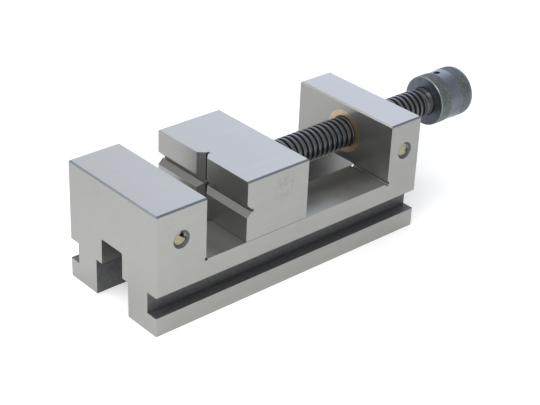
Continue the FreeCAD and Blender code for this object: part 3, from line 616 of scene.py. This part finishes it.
class VISE_OT_stop_holes(bpy.types.Operator):
    """Add the thread and the hardened preservative in the tapped holes"""
    bl_idname = "vise.stop_holes"
    bl_label = "Tapped Holes"

    def execute(self, context):
        sizes, colours = context.scene.vise_sizes, context.scene.vise_colours
        threads, wax = bmesh.new(), bmesh.new()
        for number, place in enumerate(HOLE_PLACES):
            side = -1.0 if place.y < 0 else 1.0
            self.add_thread(threads, place, side)
            # The first two holes are the jaw's, and the last two the rear block's
            self.add_wax(wax, place, side, sizes.wax_depth, SHADOW_WEDGES[number // 2])
        # The cut thread takes the colour of the chamfers, which paints shade on it
        steel = black_oxide("shaded_cut_thread_steel", colours.chamfer_with_shade, rough=0.3, grain_size=0.0005,
                            speckle=0.5)
        make_piece("stop_hole_threads", threads, "base", steel, crease=30.0)
        make_piece("stop_hole_wax", wax, "base",
                   hardened_preservative("hardened_preservative", colours.wax), crease=40.0)
        return {"FINISHED"}

    def add_thread(self, threads, place, side):
        """Ridge of a hole's thread, spun inwards from under the countersink."""
        wall, pitch, steps, turns = 0.0051, 0.00175, 32, 6
        root, height, half_width, mouth_depth = 0.0001, 0.0006, 0.0006, 0.0019
        centre = Vector((place.x, side * (BODY_HIGH.y - mouth_depth), place.z))
        ridge = [threads.verts.new(centre + Vector((wall + out, side * along, 0.0)))
                 for out, along in ((root, half_width), (-height, 0.0), (root, -half_width))]
        edges = [threads.edges.new((ridge[i], ridge[(i + 1) % 3])) for i in range(3)]
        ends = bmesh.ops.spin(threads, geom=ridge + edges, cent=centre, axis=(0.0, side, 0.0),
                              dvec=(0.0, -side * pitch / steps, 0.0), angle=tau * turns,
                              steps=steps * turns)
        threads.faces.new(ridge)
        threads.faces.new(only(bmesh.types.BMVert, ends["geom_last"]))

    def add_wax(self, wax, place, side, depth, wedge):
        """Disc across a hole, without a wedge in the shape of the hole's shadow, where the dark hole shows
        through.
        """
        radius, thickness = 0.0049, 0.0025
        (along, up), (first, last) = wedge
        surface = side * (BODY_HIGH.y - depth)
        facing = Matrix.Translation((place.x, surface, place.z)) @ Matrix.Rotation(pi / 2, 4, "X")
        disc = bmesh.ops.create_circle(wax, cap_ends=True, cap_tris=True, segments=36,
                                       radius=radius, matrix=facing)
        faces = list({face for vert in disc["verts"] for face in vert.link_faces})
        tip = Vector((place.x + along, surface, place.z + up))
        for angle in (first, last):
            parts = {item for face in faces for item in (face, *face.edges, *face.verts)}
            cut = bmesh.ops.bisect_plane(wax, geom=list(parts), dist=SAME_PLACE, plane_co=tip,
                                         plane_no=(-sin(angle), 0.0, cos(angle)))
            faces = only(bmesh.types.BMFace, cut["geom"])
        away = {face: face.calc_center_median() - tip for face in faces}
        gone = [face for face in faces if first < atan2(away[face].z, away[face].x) < last]
        bmesh.ops.delete(wax, geom=gone, context="FACES")
        faces = [face for face in faces if face.is_valid]
        thick = bmesh.ops.extrude_face_region(wax, geom=faces)
        bmesh.ops.translate(wax, verts=only(bmesh.types.BMVert, thick["geom"]),
                            vec=(0.0, -side * thickness, 0.0))


class VISE_OT_stage(bpy.types.Operator):
    """Set the floor, the soft light and the camera"""
    bl_idname = "vise.stage"
    bl_label = "Studio"

    def execute(self, context):
        scene = context.scene
        self.make_floor(scene)
        self.make_light(scene)
        self.make_camera(scene)
        scene.view_settings.view_transform = "Standard"
        return {"FINISHED"}

    def make_floor(self, scene):
        """White table under the vise's feet, with a painted glow, four metres from its middle to each side."""
        mesh = bmesh.new()
        bmesh.ops.create_grid(mesh, x_segments=1, y_segments=1, size=4.0)
        data = bpy.data.meshes.new("studio_floor")
        mesh.to_mesh(data)
        mesh.free()
        data.materials.append(glowing_table("opal_sheet_painted_glow", scene.vise_colours.floor))
        floor = bpy.data.objects.new("studio_floor", data)
        scene.collection.objects.link(floor)

    def make_light(self, scene):
        """White backdrop and ceiling, a darker room behind the camera, and two soft lamps."""
        world = bpy.data.worlds.new("white_studio")
        world.use_nodes = True
        tree = world.node_tree
        tree.nodes.clear()
        place = add(tree, "TexCoord").outputs["Generated"]
        strength = 1.0
        for towards, start, most in BACKDROP_ZONES:
            facing = add(tree, "VectorMath", {0: place, 1: towards}, operation="DOT_PRODUCT")
            wall = add(tree, "MapRange", {0: facing.outputs["Value"], 1: start, 2: 1.0,
                                          3: 1.0, 4: most}, interpolation_type="SMOOTHSTEP")
            strength = add(tree, "Math", {0: strength, 1: wall.outputs[0]},
                           operation="MULTIPLY").outputs[0]
        facing = add(tree, "VectorMath", {0: place, 1: COOL_SIDE}, operation="DOT_PRODUCT")
        far = add(tree, "MapRange", {0: facing.outputs["Value"], 1: COOL_START, 2: 1.0})
        tint = add(tree, "Mix", {0: far.outputs[0], 6: linear("fbfcff"), 7: linear("dfe8ff")},
                   data_type="RGBA")
        sky = add(tree, "Background", {"Color": tint.outputs[2], "Strength": strength})
        add(tree, "OutputWorld", {"Surface": sky.outputs[0]})
        scene.world = world
        for name, (place, size, power) in LAMPS.items():
            lamp = bpy.data.lights.new(name, "AREA")
            lamp.shape, lamp.size, lamp.energy = "DISK", size, power
            holder = bpy.data.objects.new(name, lamp)
            holder.matrix_world = (Matrix.Translation(place)
                                   @ (-Vector(place)).to_track_quat("-Z", "Y").to_matrix().to_4x4())
            scene.collection.objects.link(holder)

    def make_camera(self, scene):
        """Camera at the photograph's place."""
        azimuth, elevation, roll = radians(AZIMUTH), radians(ELEVATION), radians(ROLL)
        back = Vector((sin(azimuth) * cos(elevation), -cos(azimuth) * cos(elevation),
                       sin(elevation)))
        right = Vector((0.0, 0.0, 1.0)).cross(back).normalized()
        up = back.cross(right)
        leaned = Matrix((right * cos(roll) + up * sin(roll), up * cos(roll) - right * sin(roll),
                         back)).transposed()
        data = bpy.data.cameras.new("photo_camera")
        data.lens, data.sensor_width, data.clip_start = LENS, SENSOR_WIDTH, 0.01
        camera = bpy.data.objects.new("photo_camera", data)
        camera.matrix_world = Matrix.Translation(CAMERA_PLACE) @ leaned.to_4x4()
        scene.collection.objects.link(camera)
        scene.camera = camera


STEPS = (VISE_OT_ground_steel, VISE_OT_lead_screw, VISE_OT_knob, VISE_OT_nut,
         VISE_OT_slide_fittings, VISE_OT_stop_holes, VISE_OT_stage)


class VISE_PT_panel(bpy.types.Panel):
    """Sizes, colours and steps of the vise"""
    bl_idname = "VISE_PT_panel"
    bl_label = "Grinding Vise"
    bl_space_type = "VIEW_3D"
    bl_region_type = "UI"
    bl_category = "Vise"

    def draw(self, context):
        layout = self.layout
        for group in (context.scene.vise_sizes, context.scene.vise_colours):
            box = layout.box()
            for name in group.__annotations__:
                box.prop(group, name)
        for step in STEPS:
            layout.operator(step.bl_idname)


CLASSES = (ViseSizes, ViseColours, *STEPS, VISE_PT_panel)


def register():
    """Register the classes and put the sizes and colours on the scene."""
    for item in CLASSES:
        bpy.utils.register_class(item)
    bpy.types.Scene.vise_sizes = bpy.props.PointerProperty(type=ViseSizes)
    bpy.types.Scene.vise_colours = bpy.props.PointerProperty(type=ViseColours)


def unregister():
    """Take the sizes, the colours and the classes away again."""
    del bpy.types.Scene.vise_colours
    del bpy.types.Scene.vise_sizes
    for item in reversed(CLASSES):
        bpy.utils.unregister_class(item)


def main():
    """Make every piece in order."""
    register()
    bpy.ops.vise.ground_steel()
    bpy.ops.vise.lead_screw()
    bpy.ops.vise.knob()
    bpy.ops.vise.nut()
    bpy.ops.vise.slide_fittings()
    bpy.ops.vise.stop_holes()
    bpy.ops.vise.stage()


if __name__ == "__main__":
    main()
